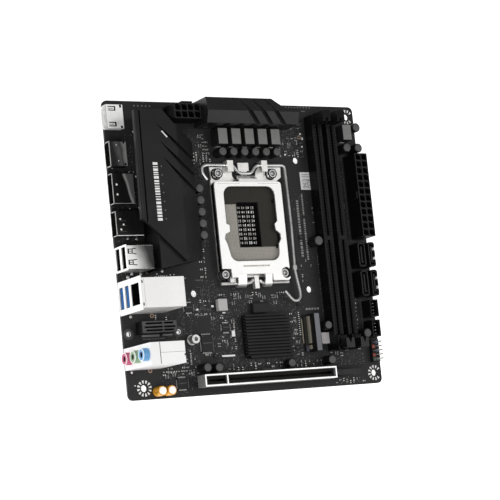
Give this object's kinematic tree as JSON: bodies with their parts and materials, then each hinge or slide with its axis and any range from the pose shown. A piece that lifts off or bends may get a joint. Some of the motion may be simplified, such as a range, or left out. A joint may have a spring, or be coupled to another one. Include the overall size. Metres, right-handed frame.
{
  "type": "computer motherboard",
  "caption": "Small square computer motherboard with a hinged processor socket, finned heatsinks, latched memory slots, a card slot, drive sockets and rear connectors.",
  "frame": {"origin": "under the middle of the object's bounding box, level with the underside of the processor socket's backplate", "axes": "+X from the rear connectors towards the memory slots, +Y from the card slot towards the 8-pin power connector, +Z out of the component side"},
  "size_m": [0.1746, 0.1702, 0.0373],
  "materials": {
    "board": "black solder mask",
    "plated_steel": "bright nickel plate",
    "steel": "zinc plate",
    "bright_port": "bright plated shell",
    "dark_port": "black plated shell",
    "anodised": "dark anodised",
    "ferrite": "matt grey",
    "can": "dark sleeve and top",
    "gold_can": "gold sleeve",
    "white_plastic": "satin",
    "grey_plastic": "satin",
    "black_plastic": "satin",
    "standoff": "tin plate",
    "contacts": "gold contacts in a moulded field",
    "header_base": "satin"
  },
  "bodies": {
    "board": {"audio_capacitor_1": "gold_can", "audio_capacitor_2": "gold_can", "audio_stack": "white_plastic", "capacitor_1": "can", "capacitor_10": "can", "capacitor_11": "can", "capacitor_2": "can", "capacitor_3": "can", "capacitor_4": "can", "capacitor_5": "can", "capacitor_6": "can", "capacitor_7": "can", "capacitor_8": "can", "capacitor_9": "can", "card_slot": "black_plastic", "card_slot_shell": "plated_steel", "chipset_heatsink": "anodised", "choke_1": "ferrite", "choke_2": "ferrite", "choke_3": "ferrite", "choke_4": "ferrite", "choke_5": "ferrite", "choke_6": "ferrite", "circuit_board": "board", "display_port": "dark_port", "drive_socket": "grey_plastic", "drive_standoff": "standoff", "frame_screw_1": "steel", "frame_screw_2": "steel", "frame_screw_3": "steel", "frame_screw_4": "steel", "front_panel_header": "header_base", "hdmi_port_1": "bright_port", "hdmi_port_2": "dark_port", "memory_slot_a": "black_plastic", "memory_slot_b": "black_plastic", "network_usb_stack": "bright_port", "power_connector_24pin": "black_plastic", "power_connector_8pin": "black_plastic", "radio_socket": "grey_plastic", "sata_port_1": "black_plastic", "sata_port_2": "black_plastic", "sata_port_3": "black_plastic", "sata_port_4": "black_plastic", "socket_backplate": "steel", "socket_contacts": "contacts", "socket_frame": "plated_steel", "socket_housing": "black_plastic", "usb_header_1": "black_plastic", "usb_header_2": "black_plastic", "usb_port_single": "dark_port", "usb_stack": "bright_port", "vrm_heatsink_left": "anodised", "vrm_heatsink_top": "anodised"},
    "lever": {"load_lever": "plated_steel"},
    "load_plate": {"load_plate": "plated_steel"},
    "memory_latch_a": {"memory_latch_a": "black_plastic"},
    "memory_latch_b": {"memory_latch_b": "black_plastic"},
    "card_latch": {"card_latch": "black_plastic"}
  },
  "joints": [
    {"name": "load_lever_hinge", "type": "hinge", "parent": "board", "child": "lever", "pos_m": [0.00351, 0.04751, 0.0073], "axis": [-1, 0, 0], "range_deg": [0, 130]},
    {"name": "load_plate_hinge", "type": "hinge", "parent": "board", "child": "load_plate", "pos_m": [0.00351, -0.02219, 0.007], "axis": [1, 0, 0], "range_deg": [0, 105]},
    {"name": "memory_latch_a_hinge", "type": "hinge", "parent": "board", "child": "memory_latch_a", "pos_m": [0.05406, -0.05949, 0.0077], "axis": [1, 0, 0], "range_deg": [0, 25]},
    {"name": "memory_latch_b_hinge", "type": "hinge", "parent": "board", "child": "memory_latch_b", "pos_m": [0.06406, -0.05949, 0.0077], "axis": [1, 0, 0], "range_deg": [0, 25]},
    {"name": "card_latch_hinge", "type": "hinge", "parent": "board", "child": "card_latch", "pos_m": [0.05131, -0.07739, 0.0075], "axis": [0, 1, 0], "range_deg": [0, 12], "stiffness_Nm_per_rad": 0.0002, "springref_deg": -11.46}
  ]
}
